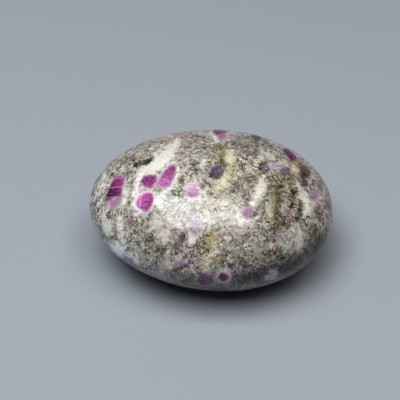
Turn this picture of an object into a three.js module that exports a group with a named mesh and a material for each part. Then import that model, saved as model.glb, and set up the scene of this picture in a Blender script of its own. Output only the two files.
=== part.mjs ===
// A polished palm stone: one egg-like pebble of speckled white rock with violet crystals grown through it.
// Millimetres, +Z up. The origin is under the stone's middle, on the surface that the flat spot rests on.

import * as THREE from 'three';
import { mergeVertices } from 'three/addons/utils/BufferGeometryUtils.js';

// The body before its departures from a true ellipsoid.
const LENGTH = 65;
const WIDTH = 51;
const FULL_THICKNESS = 34.6;

// How much of the underside is ground away to make the flat spot.
const GROUND_AWAY = 0.6;

// Departures from the ellipsoid, as a share of the half width or half thickness at the ends.
const WIDER_TO_RIGHT = 0.025;
const FULLER_ENDS = 0.013;
const THICKER_TO_RIGHT = 0.015;

// Departures in millimetres at the ends.
const RIGHT_END_DROP = 0.33;
const TWIST_RISE = 1.0;
const BOW_TO_BACK = 0.29;

// Facets: columns go around the stone, rows go from its crown to the middle of its flat spot.
const COLUMNS = 88;
const ROWS = 36;

// The search for the flat spot's edge: how many times it halves, and the angle down from +Z at which it starts.
const HALVINGS = 50;
const SEARCH_FROM = Math.PI * 0.7;

const STONE_COLOUR = 0xa39a90;
const STONE_ROUGHNESS = 0.2;
const STONE_METALNESS = 0;

const HALF_LENGTH = LENGTH / 2;
const HALF_WIDTH = WIDTH / 2;
const HALF_THICKNESS = FULL_THICKNESS / 2;
const MIDDLE_HEIGHT = HALF_THICKNESS - GROUND_AWAY;

// The point of the unground pebble in the direction given by a turn around +Z and an angle down from +Z.
function pebblePoint(turn, down) {
  const alongX = Math.sin(down) * Math.cos(turn);
  const alongY = Math.sin(down) * Math.sin(turn);
  const alongZ = Math.cos(down);
  const widthShare = 1 + WIDER_TO_RIGHT * alongX + FULLER_ENDS * alongX ** 2;
  const thicknessShare = 1 + THICKER_TO_RIGHT * alongX;
  return new THREE.Vector3(
    HALF_LENGTH * alongX,
    HALF_WIDTH * alongY * widthShare + BOW_TO_BACK * alongX ** 2,
    MIDDLE_HEIGHT + HALF_THICKNESS * alongZ * thicknessShare
      - RIGHT_END_DROP * alongX + TWIST_RISE * alongX * alongY,
  );
}

// The angle down from +Z at which the pebble meets the plane of the flat spot, found by halving.
function flatSpotEdge(turn) {
  let above = SEARCH_FROM;
  let below = Math.PI;
  for (let step = 0; step < HALVINGS; step += 1) {
    const middle = (above + below) / 2;
    if (pebblePoint(turn, middle).z > 0) above = middle;
    else below = middle;
  }
  return above;
}

// A sphere's rows are spread from the crown to the flat spot's edge, and its last row closes the flat spot.
function palmStoneGeometry() {
  const geometry = new THREE.SphereGeometry(1, COLUMNS, ROWS);
  const position = geometry.getAttribute('position');
  const columnsAcross = COLUMNS + 1;
  for (let index = 0; index < position.count; index += 1) {
    const column = index % columnsAcross;
    const row = Math.floor(index / columnsAcross);
    const turn = ((column % COLUMNS) / COLUMNS) * 2 * Math.PI;
    if (row === ROWS) {
      position.setXYZ(index, 0, 0, 0);
    } else {
      const point = pebblePoint(turn, flatSpotEdge(turn) * (row / (ROWS - 1)));
      const height = row === ROWS - 1 ? 0 : point.z;
      position.setXYZ(index, point.x, point.y, height);
    }
  }
  geometry.deleteAttribute('normal');
  geometry.deleteAttribute('uv');
  const closed = mergeVertices(geometry);
  closed.computeBoundingBox();
  const middle = closed.boundingBox.getCenter(new THREE.Vector3());
  closed.translate(-middle.x, -middle.y, 0);
  closed.computeVertexNormals();
  return closed;
}

const polishedStone = new THREE.MeshStandardMaterial({
  color: STONE_COLOUR,
  roughness: STONE_ROUGHNESS,
  metalness: STONE_METALNESS,
});

const palmStone = new THREE.Mesh(palmStoneGeometry(), polishedStone);
palmStone.name = 'palm_stone';

const group = new THREE.Group();
group.add(palmStone);

export default group;
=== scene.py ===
"""A polished palm stone of ruby in albite, with its markings, a plain pale floor, soft light and the camera.

The stone is one closed surface worked out with numpy. Its crystals, pale bands, stains and cracks, with the
shade painted on its front foot, are placed on that surface, kept there as mesh attributes, and given their
grain by the node material.
Lengths are millimetres until the mesh is written, which is in metres.
"""

import logging
from dataclasses import dataclass, field
from enum import Enum
from functools import reduce

import bpy
import numpy as np
from mathutils import Matrix, Vector


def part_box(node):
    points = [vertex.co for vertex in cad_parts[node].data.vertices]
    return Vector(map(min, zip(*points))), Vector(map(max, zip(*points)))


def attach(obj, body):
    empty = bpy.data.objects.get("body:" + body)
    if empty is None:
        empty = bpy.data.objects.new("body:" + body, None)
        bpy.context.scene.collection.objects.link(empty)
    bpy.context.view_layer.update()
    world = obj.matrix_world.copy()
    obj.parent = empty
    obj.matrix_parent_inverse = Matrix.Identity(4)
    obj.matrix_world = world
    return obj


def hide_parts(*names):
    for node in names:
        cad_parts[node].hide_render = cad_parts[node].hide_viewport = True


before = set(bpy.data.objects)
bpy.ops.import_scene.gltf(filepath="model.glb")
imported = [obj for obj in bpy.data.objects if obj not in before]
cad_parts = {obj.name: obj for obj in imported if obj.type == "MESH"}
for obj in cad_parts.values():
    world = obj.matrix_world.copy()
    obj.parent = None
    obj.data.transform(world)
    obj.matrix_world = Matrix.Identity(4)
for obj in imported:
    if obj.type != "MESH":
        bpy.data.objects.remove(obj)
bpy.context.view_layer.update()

log = logging.getLogger("palm_stone")

NODE = "palm_stone"
BODY = "root"
METRES = 0.001

# A depth, in millimetres, that stands for well outside a mark, and a least divisor
FAR = 10.0
TINY = 1e-12

Array = np.ndarray
Colour = tuple[float, float, float]
Stops = tuple[tuple[float, Colour], ...]


def smooth_step(low: float, high: float, value: Array) -> Array:
    """Gives 0 below low, 1 above high, and 3t squared less 2t cubed of the share t between them.

    Args:
        low: the value at which the rise starts.
        high: the value at which the rise ends. It may be below low, for a fall.
        value: the values to map.

    Returns:
        Array: values from 0 to 1.
    """
    share = np.clip((value - low) / (high - low), 0.0, 1.0)
    return share * share * (3.0 - 2.0 * share)


def unit(vectors: Array) -> Array:
    """Returns the vectors along the last axis at length one."""
    return vectors / np.maximum(np.linalg.norm(vectors, axis=-1, keepdims=True), TINY)


def turned(across: Array, upward: Array, degrees: float) -> tuple[Array, Array]:
    """Measures flat points along a direction that leans by an angle, and square to it.

    Args:
        across: offsets across.
        upward: offsets up.
        degrees: the angle from across towards up.

    Returns:
        tuple: across cos(angle) + up sin(angle), and up cos(angle) - across sin(angle).
    """
    lean = np.radians(degrees)
    return across * np.cos(lean) + upward * np.sin(lean), upward * np.cos(lean) - across * np.sin(lean)


class Hue(Enum):
    """Crystal colours, as linear red, green and blue."""

    DEEP_MAGENTA = (0.115, 0.012, 0.078)
    MAGENTA = (0.270, 0.045, 0.200)
    PINK = (0.440, 0.130, 0.360)
    PURPLE = (0.185, 0.048, 0.155)
    PLUM = (0.075, 0.014, 0.060)
    MAROON = (0.060, 0.010, 0.028)
    VIOLET = (0.110, 0.050, 0.160)
    INDIGO = (0.070, 0.048, 0.085)
    MAUVE = (0.330, 0.130, 0.290)
    DULL_MAUVE = (0.230, 0.140, 0.200)
    ROSE = (0.280, 0.130, 0.190)
    LILAC = (0.460, 0.330, 0.500)
    PALE_PINK = (0.620, 0.420, 0.560)
    GREY_LILAC = (0.300, 0.245, 0.270)
    HEATHER = (0.290, 0.165, 0.285)


class Cast(Enum):
    """Colours of the pale bands, of the stains and of the painted shade, as linear red, green and blue."""

    CREAM = (0.665, 0.640, 0.580)
    WHITE = (0.710, 0.690, 0.670)
    OYSTER = (0.560, 0.530, 0.480)
    GREENISH = (0.620, 0.640, 0.570)
    PALE_GREY = (0.460, 0.445, 0.420)
    SLATE_PALE = (0.440, 0.430, 0.455)
    MURKY = (0.340, 0.345, 0.320)
    STRAW = (0.620, 0.560, 0.420)
    YELLOW = (0.370, 0.345, 0.215)
    OLIVE = (0.235, 0.210, 0.130)
    DARK_OLIVE = (0.100, 0.088, 0.040)
    MOSS = (0.130, 0.140, 0.045)
    OCHRE = (0.340, 0.250, 0.100)
    BEIGE = (0.380, 0.320, 0.210)
    BROWN = (0.130, 0.085, 0.050)
    RUST = (0.230, 0.110, 0.070)
    PINKISH = (0.400, 0.290, 0.310)
    # Painted shade for the front foot's underside, not a colour of the rock
    PAINTED_SHADE = (0.103, 0.095, 0.114)
    ICE = (0.850, 0.870, 0.920)


@dataclass(frozen=True)
class Seen:
    """A place on the stone, by the pixel of the 400 by 400 frame in which it shows."""

    x: float
    y: float


@dataclass(frozen=True)
class Round:
    """A place on the stone, in degrees.

    Attributes:
        along: the angle from the right end, +X, to the left end.
        around: the turn about the length from the back, +Y, over the crown to the front and the underside.
    """

    along: float
    around: float


Place = Seen | Round


@dataclass(frozen=True)
class Pebble:
    """The stone's body: an ellipsoid with a few small departures, cut by the plane of its flat spot.

    The departures are what the stone's ends have, as shares of the half width or half thickness, or in
    millimetres. The edge softness is the height, in millimetres, over which the flat spot's edge is rounded.
    """

    half_length: float
    half_width: float
    half_thickness: float
    middle_height: float
    wider_to_right: float = 0.025
    fuller_ends: float = 0.013
    thicker_to_right: float = 0.015
    right_end_drop: float = 0.33
    twist_rise: float = 1.0
    bow_to_back: float = 0.29
    edge_softness: float = 0.05

    @classmethod
    def from_frame(cls, ground_away: float = 0.6) -> "Pebble":
        """Reads the body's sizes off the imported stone.

        Args:
            ground_away: how much of the underside the flat spot takes off.

        Returns:
            Pebble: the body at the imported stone's size.
        """
        low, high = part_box(NODE)
        half_thickness = ((high.z - low.z) / METRES + ground_away) / 2.0
        return cls(
            half_length=(high.x - low.x) / METRES / 2.0,
            half_width=(high.y - low.y) / METRES / 2.0,
            half_thickness=half_thickness,
            middle_height=half_thickness - ground_away,
        )

    def point(self, along: Array, around: Array) -> Array:
        """Gives the surface's point for two angles.

        The direction is cos(along) on X, sin(along) cos(around) on Y and sin(along) sin(around) on Z. Each
        part is stretched by the half size on its axis. Width grows with the direction's X and its square,
        thickness grows and height drops with its X, the ends bow to the back with its square, and the
        height twists with the product of its X and Y. Each height then becomes half the sum of itself and
        the root of its square plus the softness squared, which holds it above the flat spot.

        Args:
            along: angles from the right end, in radians.
            around: turns about the length, in radians.

        Returns:
            Array: points, with X, Y and Z on the last axis.
        """
        x = np.cos(along)
        y = np.sin(along) * np.cos(around)
        z = np.sin(along) * np.sin(around)
        wide = 1.0 + self.wider_to_right * x + self.fuller_ends * x**2
        thick = 1.0 + self.thicker_to_right * x
        height = self.middle_height + self.half_thickness * z * thick
        height = height - self.right_end_drop * x + self.twist_rise * x * y
        height = 0.5 * (height + np.sqrt(height**2 + self.edge_softness**2))
        crosswise = self.half_width * y * wide + self.bow_to_back * x**2
        return np.stack([self.half_length * x, crosswise, height], axis=-1)

    def normal(self, along: Array, around: Array, step: float = 1e-4) -> Array:
        """Gives the outward normal: the cross product of the surface's slopes along its two angles.

        Args:
            along: angles from the right end, in radians.
            around: turns about the length, in radians.
            step: the change of angle over which a slope is taken.

        Returns:
            Array: unit normals.
        """
        lengthwise = self.point(along + step, around) - self.point(along - step, around)
        crosswise = self.point(along, around + step) - self.point(along, around - step)
        return unit(np.cross(lengthwise, crosswise))


@dataclass(frozen=True)
class Viewpoint:
    """Where the stone is looked at from, and where its middle then shows in the 400 by 400 frame.

    Angles are degrees: the turn is from the front, towards +X, and the rise is above the floor. The focal
    length is in pixels. The distance, from the stone's middle along the line of sight, and the sensor's
    width are in millimetres.
    """

    turn: float = 5.32
    rise: float = 42.28
    focal: float = 1000.0
    distance: float = 266.94
    middle_x: float = 210.81
    middle_y: float = 207.45
    frame_size: float = 400.0
    sensor: float = 36.0

    def axes(self) -> tuple[Array, Array, Array]:
        """Works out the directions of the picture.

        Returns:
            tuple: unit vectors to the picture's right, to its top, and back to the viewer.
        """
        turn, rise = np.radians([self.turn, self.rise])
        back = np.array([np.sin(turn) * np.cos(rise), -np.cos(turn) * np.cos(rise), np.sin(rise)])
        right = np.array([np.cos(turn), np.sin(turn), 0.0])
        return right, np.cross(back, right), back

    def scale(self) -> float:
        """Returns how many pixels a millimetre takes at the stone's middle."""
        return self.focal / self.distance

    def eye(self, middle: Array) -> Array:
        """Finds the viewer's place, set aside so that the stone's middle shows at its own pixel.

        Args:
            middle: the stone's middle.

        Returns:
            Array: the viewer's place, in the same unit.
        """
        right, top, back = self.axes()
        centre = self.frame_size / 2.0
        aside = (self.middle_x - centre) / self.scale()
        below = (self.middle_y - centre) / self.scale()
        return middle + back * self.distance - right * aside + top * below

    def pixels(self, points: Array, eye: Array) -> Array:
        """Gives the pixel in which each point shows.

        Its offsets to the right and to the top are divided by its depth and multiplied by the focal length.

        Args:
            points: points on the stone.
            eye: the viewer's place.

        Returns:
            Array: pixels across and down, on the last axis.
        """
        right, top, back = self.axes()
        away = points - eye
        depth = -away @ back
        centre = self.frame_size / 2.0
        across = centre + self.focal * (away @ right) / depth
        down = centre - self.focal * (away @ top) / depth
        return np.stack([across, down], axis=-1)

    def picture_slopes(self, point: Array, eye: Array) -> Array:
        """Gives how a point's picture moves as the point moves, at the scale of the stone's middle.

        Args:
            point: a point on the stone.
            eye: the viewer's place.

        Returns:
            Array: two rows of three, for the move to the right and to the top per unit move along each axis.
        """
        right, top, back = self.axes()
        away = point - eye
        depth = -away @ back
        across = self.focal * (right * depth + (away @ right) * back) / depth**2
        upward = self.focal * (top * depth + (away @ top) * back) / depth**2
        return np.stack([across, upward]) / self.scale()


@dataclass(frozen=True)
class Spot:
    """A place on the surface with two directions of its own, in which marks are drawn as on a plane."""

    origin: Array
    normal: Array
    directions: Array

    def flat(self, points: Array) -> tuple[Array, Array, Array]:
        """Lays points out flat around the spot, by their offset within the surface's plane there.

        Args:
            points: points on the stone.

        Returns:
            tuple: how far across and how far up each point lies, and its straight distance.
        """
        offset = points - self.origin
        within = offset - (offset @ self.normal)[:, None] * self.normal
        across, upward = (within @ self.directions.T).T
        return across, upward, np.linalg.norm(offset, axis=-1)


class Skin:
    """The stone's surface as a grid of points, with the look-up from a place to a spot on it.

    ALONG_STEP is the change of angle, in radians, that shows which way the length runs. LEAST_SLOPE limits
    how far marks near the outline are stretched: it is a share of the picture's steepest slope.
    """

    ALONG_STEP = 0.01
    LEAST_SLOPE = 0.3

    def __init__(self, pebble: Pebble, view: Viewpoint, rings: int, columns: int) -> None:
        """Works out the grid.

        Args:
            pebble: the stone's body.
            view: where the stone is looked at from.
            rings: how many steps there are from end to end.
            columns: how many steps there are around the length.
        """
        self.pebble = pebble
        self.view = view
        self.rings = rings
        self.columns = columns
        along = np.linspace(0.0, np.pi, rings + 1)[1:-1]
        around = np.linspace(0.0, 2.0 * np.pi, columns, endpoint=False)
        along, around = (grid.ravel() for grid in np.meshgrid(along, around, indexing="ij"))
        ends = pebble.point(np.array([0.0, np.pi]), np.zeros(2))
        self.points = np.concatenate([ends[:1], pebble.point(along, around), ends[1:]])
        end_normals = np.array([[1.0, 0.0, 0.0], [-1.0, 0.0, 0.0]])
        self.normals = np.concatenate([end_normals[:1], pebble.normal(along, around), end_normals[1:]])
        self.eye = view.eye(np.array([0.0, 0.0, pebble.middle_height]))
        self.pixels = view.pixels(self.points, self.eye)
        self.facing = (unit(self.eye - self.points) * self.normals).sum(-1)

    def faces(self) -> list[tuple[int, ...]]:
        """Joins the grid's points: squares between rings, and a fan of triangles at each end.

        Returns:
            list: corner numbers of each face, turning so that faces point outwards.
        """
        column = np.arange(self.columns)
        after = (column + 1) % self.columns
        ring = np.arange(self.rings - 2)[:, None] * self.columns + 1
        corners = [ring + column, ring + self.columns + column, ring + self.columns + after, ring + after]
        squares = np.stack(corners, axis=-1).reshape(-1, 4)
        last = len(self.points) - 1
        last_ring = last - self.columns
        right_fan = np.stack([np.zeros_like(column), 1 + column, 1 + after], axis=-1)
        left_fan = np.stack([np.full_like(column, last), last_ring + after, last_ring + column], axis=-1)
        return squares.tolist() + right_fan.tolist() + left_fan.tolist()

    def spot(self, place: Place) -> Spot:
        """Finds a place on the surface.

        Args:
            place: a pixel in which it shows, or its two angles.

        Returns:
            Spot: the surface there. A seen spot's directions undo the slant at which it is looked at.
        """
        if isinstance(place, Round):
            along, around = np.radians([place.along, place.around])
            origin = self.pebble.point(along, around)
            normal = self.pebble.normal(along, around)
            across = unit(np.cross(normal, self.pebble.point(along + self.ALONG_STEP, around) - origin))
            return Spot(origin, normal, np.stack([across, np.cross(normal, across)]))
        gap = np.hypot(self.pixels[:, 0] - place.x, self.pixels[:, 1] - place.y)
        gap[self.facing <= 0.0] = np.inf
        nearest = int(gap.argmin())
        origin, normal = self.points[nearest], self.normals[nearest]
        slopes = self.view.picture_slopes(origin, self.eye)
        slopes = slopes - np.outer(slopes @ normal, normal)
        left, sizes, right = np.linalg.svd(slopes, full_matrices=False)
        least = self.LEAST_SLOPE * sizes[0]
        return Spot(origin, normal, left @ np.diag(np.maximum(sizes, least)) @ right)


@dataclass(frozen=True)
class Crystal:
    """A ruby crystal cut by the surface. Sizes are millimetres as it is seen, and angles are degrees.

    Its outline has straight sides, each touching one ellipse, or the corners given here as offsets across
    and up. Its colour passes from hue, which strength multiplies, to fade in the direction fade_to, over
    FADE_SHARE of its length on both sides of its middle. Partings are thin pale lines, a given step apart.
    The halo is how pale its rim is, and where cover is below 1 the rock shows through it in places.

    The crystal matters to points within REACH_SHARE of its size plus REACH_MARGIN. FIRST_SIDE is the angle
    of its first side in radians, DEPTH_LIMIT bounds the distances to its sides, and NUMBER_STEP keeps
    crystals apart in the noise that streaks them.
    """

    REACH_SHARE = 2.5
    REACH_MARGIN = 3.0
    FIRST_SIDE = 0.35
    DEPTH_LIMIT = 8.0
    FADE_SHARE = 0.35
    NUMBER_STEP = 7.0

    at: Place
    long: float = 2.0
    wide: float = 1.5
    lean: float = 0.0
    hue: Hue = Hue.PURPLE
    fade: Hue | None = None
    fade_to: float = 90.0
    sides: int = 6
    corners: tuple[tuple[float, float], ...] = ()
    parting_step: float = 0.0
    parting_lean: float = 0.0
    parting_from: float = 0.0
    strength: float = 1.0
    halo: float = 0.2
    cover: float = 1.0

    def reach(self) -> float:
        """Returns how far from its middle the crystal matters."""
        corners = max((np.hypot(*corner) for corner in self.corners), default=0.0)
        return self.REACH_SHARE * max(self.long, corners) + self.REACH_MARGIN

    def depth(self, across: Array, upward: Array, roundness: float = 9.0) -> Array:
        """Gives how far inside the outline each flat point lies: the least distance to a side, softly taken.

        That is minus the logarithm of the sum of exp(-roundness distance) over all sides, over the roundness.

        Args:
            across: offsets across from the crystal's middle.
            upward: offsets up from the crystal's middle.
            roundness: the sharpness of its corners, per millimetre.

        Returns:
            Array: millimetres inside the outline, negative outside it.
        """
        if self.corners:
            corner = np.array(self.corners)
            side = np.roll(corner, -1, axis=0) - corner
            inward = unit(np.stack([-side[:, 1], side[:, 0]], axis=-1))
            inward *= np.sign(((corner.mean(axis=0) - corner) * inward).sum(-1, keepdims=True))
            depths = [(across - c[0]) * n[0] + (upward - c[1]) * n[1] for c, n in zip(corner, inward)]
        else:
            lengthwise, crosswise = turned(across, upward, self.lean)
            angles = np.arange(self.sides) * 2.0 * np.pi / self.sides + self.FIRST_SIDE
            touching = np.hypot(0.5 * self.long * np.cos(angles), 0.5 * self.wide * np.sin(angles))
            depths = [t - lengthwise * np.cos(a) - crosswise * np.sin(a) for t, a in zip(touching, angles)]
        depths = np.clip(np.array(depths), -self.DEPTH_LIMIT, self.DEPTH_LIMIT)
        return -np.log(np.exp(-roundness * depths).sum(axis=0)) / roundness

    def colour(self, across: Array, upward: Array) -> Array:
        """Gives the crystal's colour at flat points, passing from hue to fade across its length.

        Args:
            across: offsets across from the crystal's middle.
            upward: offsets up from the crystal's middle.

        Returns:
            Array: linear red, green and blue.
        """
        base = np.array(self.hue.value) * self.strength
        if self.fade is None:
            return np.broadcast_to(base, (len(across), 3))
        reach = self.FADE_SHARE * self.long
        share = smooth_step(-reach, reach, turned(across, upward, self.fade_to)[0])
        return base + share[:, None] * (np.array(self.fade.value) - base)

    def place(self, across: Array, upward: Array, number: int) -> Array:
        """Gives flat points as offsets along and across the crystal, with its number for a third."""
        third = np.full_like(across, self.NUMBER_STEP * number)
        return np.stack([*turned(across, upward, self.lean), third], axis=-1)

    def partings(self, across: Array, upward: Array) -> Array:
        """Numbers flat points by the parting lines that they lie between.

        Args:
            across: offsets across from the crystal's middle.
            upward: offsets up from the crystal's middle.

        Returns:
            Array: counts that are a whole number and a half on each parting line, or 0 where there are none.
        """
        if self.parting_step == 0.0:
            return np.zeros_like(across)
        passed = turned(across, upward, self.parting_lean)[0] - self.parting_from
        return passed / self.parting_step + 0.5


@dataclass(frozen=True)
class Streak:
    """A band, vein, line or patch drawn through places, with a width in millimetres at each.

    A streak of one place is a round patch. A blur of 2 makes its edge twice as wide, and where cover is
    below 1 the rock shows through it in places. Each part of it matters to points no further away than its
    length plus REACH_SHARE of its width plus REACH_MARGIN.
    """

    REACH_SHARE = 3.0
    REACH_MARGIN = 4.0

    through: tuple[tuple[Place, float], ...]
    cast: Cast = Cast.CREAM
    cover: float = 1.0
    blur: float = 1.0

    def depth(self, skin: Skin) -> Array:
        """Gives how far inside the streak each point of the skin lies.

        Between two places it is half the width there, less the distance to the straight line between them,
        both taken on the plane that touches the stone at the first of the two. The largest of these depths
        counts, over the blur.

        Args:
            skin: the stone's surface.

        Returns:
            Array: millimetres inside the streak, negative outside it.
        """
        found = np.full(len(skin.points), -FAR)
        spots = [skin.spot(place) for place, _ in self.through]
        widths = [width for _, width in self.through]
        if len(spots) == 1:
            spots, widths = spots * 2, widths * 2
        for start, end, first, last in zip(spots, spots[1:], widths, widths[1:]):
            across, upward, distance = start.flat(skin.points)
            end_across, end_upward, length = (part[0] for part in start.flat(end.origin[None, :]))
            line = np.array([end_across, end_upward])
            share = np.clip((across * line[0] + upward * line[1]) / max(line @ line, TINY), 0.0, 1.0)
            gap = np.hypot(across - share * line[0], upward - share * line[1])
            depth = 0.5 * (first + share * (last - first)) - gap
            depth[distance > length + self.REACH_SHARE * max(first, last) + self.REACH_MARGIN] = -FAR
            found = np.maximum(found, depth)
        return found / self.blur


@dataclass(frozen=True)
class Cloud:
    """A soft-edged oval of colour or mood. Sizes are millimetres as it is seen, and the lean is in degrees.

    So as not to reach the far side, it is faded out with distance from its middle: from WHOLE_TO of its
    length to CUT_BY of its length plus CUT_MARGIN.
    """

    WHOLE_TO = 1.6
    CUT_BY = 2.6
    CUT_MARGIN = 6.0

    at: Place
    long: float
    wide: float
    lean: float = 0.0

    def share(self, skin: Skin) -> Array:
        """Gives 1 in the middle, falling to 0.37 on the oval's line, as exp of minus the radius squared.

        Args:
            skin: the stone's surface.

        Returns:
            Array: shares from 0 to 1.
        """
        across, upward, distance = skin.spot(self.at).flat(skin.points)
        lengthwise, crosswise = turned(across, upward, self.lean)
        share = np.exp(-((lengthwise / (0.5 * self.long)) ** 2) - (crosswise / (0.5 * self.wide)) ** 2)
        cut_by = self.CUT_BY * self.long + self.CUT_MARGIN
        return share * smooth_step(cut_by, self.WHOLE_TO * self.long, distance)


@dataclass(frozen=True)
class StainAndShade(Cloud):
    """An oval where the rock is tinted: most are stains, and those of the painted-shade colour paint shade on
    the front foot.
    """

    cast: Cast = Cast.OLIVE
    strength: float = 0.8


@dataclass(frozen=True)
class Mood(Cloud):
    """An oval where the rock has more or fewer flecks, is warmer or greyer, and is lighter or darker.

    Some of them paint shade on the front foot, haze around the highlight and a bluish reflection at the left
    end.
    """

    flecks: float = 0.0
    warmth: float = 0.0
    light: float = 0.0


SEEN_CRYSTALS: tuple[Crystal, ...] = (
    # The large crystal near the left end, with its paler foot
    Crystal(Seen(115, 187), 6.4, 4.0, 75, Hue.DEEP_MAGENTA, Hue.MAGENTA, 20, strength=0.68,
            corners=((0.3, 3.0), (2.5, 3.0), (2.3, 1.1), (1.5, -2.6), (-2.6, -3.6), (-2.7, -2.2), (-1.4, 0.2),
                     (-0.6, 2.0)),
            parting_step=2.45, parting_lean=97, parting_from=-0.15),
    Crystal(Seen(107, 196.5), 1.2, 1.6, 60, Hue.MAROON, Hue.DEEP_MAGENTA, 60, sides=5, halo=0.0, cover=0.9),
    Crystal(Seen(113.5, 202), 5.0, 2.4, 10, Hue.PINK, Hue.HEATHER, 20, halo=0.3,
            corners=((-1.5, 0.6), (2.1, 1.6), (2.1, -0.3), (1.2, -1.3), (-1.0, -1.5)),
            strength=1.1, cover=0.75),
    # The cluster in the big white band
    Crystal(Seen(148, 181.2), 4.2, 3.2, 20, Hue.PURPLE, Hue.MAGENTA, -60, halo=0.4, strength=1.1,
            corners=((-2.3, -0.2), (-1.3, 1.7), (0.4, 1.9), (2.1, 1.8), (2.3, 0.0), (0.7, -1.8),
                     (-0.8, -1.5))),
    Crystal(Seen(165.7, 175.8), 6.4, 2.6, 60, Hue.PURPLE, Hue.PINK, -110, halo=0.35,
            corners=((1.2, 3.1), (2.6, 3.0), (2.5, 0.4), (1.0, -2.7), (-0.9, -3.0), (-2.9, -2.8),
                     (-1.4, -0.1), (0.1, 2.2)),
            strength=1.35, cover=0.95),
    Crystal(Seen(145.5, 202), 4.6, 4.0, 70, Hue.PINK, Hue.MAGENTA, -20, halo=0.75,
            corners=((0.2, 2.8), (2.1, 2.3), (2.5, 0.6), (1.5, -1.7), (-0.2, -2.9), (-2.1, -1.7), (-2.9, 0.0),
                     (-1.8, 1.7)),
            parting_step=3.6, parting_lean=-5, parting_from=-1.4),
    # The middle of the stone
    Crystal(Seen(194, 190.5), 4.2, 3.0, 90, Hue.MAUVE, Hue.PALE_PINK, 80, halo=0.5, strength=0.9, cover=0.8,
            corners=((-1.4, 1.8), (0.8, 2.2), (1.7, 0.7), (1.4, -1.8), (-0.3, -2.4), (-1.7, -1.5))),
    Crystal(Seen(202, 186), 1.7, 1.4, 0, Hue.GREY_LILAC, strength=0.35, halo=0.0, cover=0.8),
    Crystal(Seen(217.3, 171.6), 3.5, 3.2, 40, Hue.INDIGO, Hue.VIOLET, 60, sides=7, halo=0.0, strength=0.85,
            cover=0.8),
    Crystal(Seen(247.5, 213), 3.0, 3.1, 80, Hue.MAUVE, strength=0.55),
    Crystal(Seen(253.7, 214), 1.7, 1.6, 0, Hue.MAROON, sides=5, halo=0.0, cover=0.95),
    Crystal(Seen(196, 227), 3.2, 4.4, 0, Hue.HEATHER, sides=7, halo=0.1, cover=0.6),
    Crystal(Seen(177, 231.5), 4.4, 2.4, -12, Hue.HEATHER, sides=8, strength=0.8, halo=0.0, cover=0.35),
    Crystal(Seen(180.5, 242.5), 4.0, 2.6, 10, Hue.DULL_MAUVE, Hue.MAROON, 0, strength=0.8, halo=0.0,
            cover=0.5),
    Crystal(Seen(178.6, 265), 4.0, 2.6, 15, Hue.ROSE, Hue.HEATHER, 60, strength=1.3, cover=0.65,
            corners=((-1.0, 1.3), (1.0, 1.4), (1.9, 0.0), (1.6, -1.0), (-1.7, -1.5), (-2.0, -0.9))),
    # The top edge
    Crystal(Seen(219.5, 131), 3.2, 2.6, 0, Hue.DEEP_MAGENTA, sides=5, halo=0.0, strength=1.1),
    Crystal(Seen(221, 135.3), 2.8, 1.7, 10, Hue.PINK, Hue.MAUVE, -60, sides=5, halo=0.4, strength=0.85,
            cover=0.85),
    Crystal(Seen(257, 136.9), 2.8, 1.7, -18, Hue.MAROON, strength=0.1, halo=0.0),
    Crystal(Seen(290.2, 154), 4.7, 1.5, -38, Hue.DEEP_MAGENTA, Hue.PLUM, 140, strength=1.2, halo=0.1),
    # The right shoulder
    Crystal(Seen(304.8, 171.2), 2.7, 3.2, 70, Hue.MAROON, Hue.PLUM, 90, halo=0.0, cover=0.65,
            corners=((-1.2, 1.2), (0.6, 1.9), (1.8, 0.6), (1.2, -1.2), (-0.6, -1.9), (-1.5, -0.6))),
    Crystal(Seen(303.9, 183.2), 1.9, 2.1, 60, Hue.PLUM, halo=0.0, cover=0.8),
    Crystal(Seen(303.5, 189), 1.3, 1.2, 0, Hue.HEATHER, halo=0.0, cover=0.4),
    Crystal(Seen(314.6, 194.7), 3.4, 1.9, 75, Hue.DULL_MAUVE, Hue.HEATHER, 0, cover=0.7),
    Crystal(Seen(261.8, 167.2), 2.3, 1.7, 80, Hue.MAROON, halo=0.0, strength=0.9, cover=0.8),
    Crystal(Seen(266.8, 168.6), 2.1, 1.6, 10, Hue.INDIGO, sides=5, halo=0.0, strength=1.2, cover=0.75),
    Crystal(Seen(272, 166.5), 2.5, 1.7, 0, Hue.HEATHER, halo=0.1, strength=1.4, cover=0.5),
    Crystal(Seen(286, 171.2), 2.1, 2.3, 70, Hue.VIOLET, Hue.PLUM, -60, sides=5, halo=0.0, strength=0.8,
            cover=0.7),
    Crystal(Seen(287, 210), 2.6, 2.9, 60, Hue.GREY_LILAC, Hue.HEATHER, 0, sides=5, halo=0.0, cover=0.45),
    Crystal(Seen(316.5, 213), 2.2, 3.0, 10, Hue.PLUM, Hue.GREY_LILAC, 180, sides=5, halo=0.0, cover=0.45),
    Crystal(Seen(328, 205), 1.4, 3.4, 0, Hue.ROSE, sides=5, halo=0.0, strength=0.7, cover=0.7),
    Crystal(Seen(280.5, 238), 2.0, 4.2, 10, Hue.GREY_LILAC, halo=0.0, strength=1.6, cover=0.35),
    # The lower edge
    Crystal(Seen(205.4, 280.4), 4.4, 3.0, 0, Hue.VIOLET, Hue.PURPLE, 20, sides=7, strength=0.45, halo=0.1,
            cover=0.9),
    Crystal(Seen(223.5, 277.5), 2.8, 2.5, 10, Hue.PLUM, Hue.DEEP_MAGENTA, 0, halo=0.6),
    Crystal(Seen(230.7, 266.5), 1.4, 1.4, 0, Hue.PLUM, sides=5, halo=0.0, strength=0.85, cover=0.95),
    Crystal(Seen(130.5, 265), 5.4, 2.0, -38, Hue.LILAC, sides=7, halo=0.0, strength=0.6, cover=0.95),
)

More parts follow.
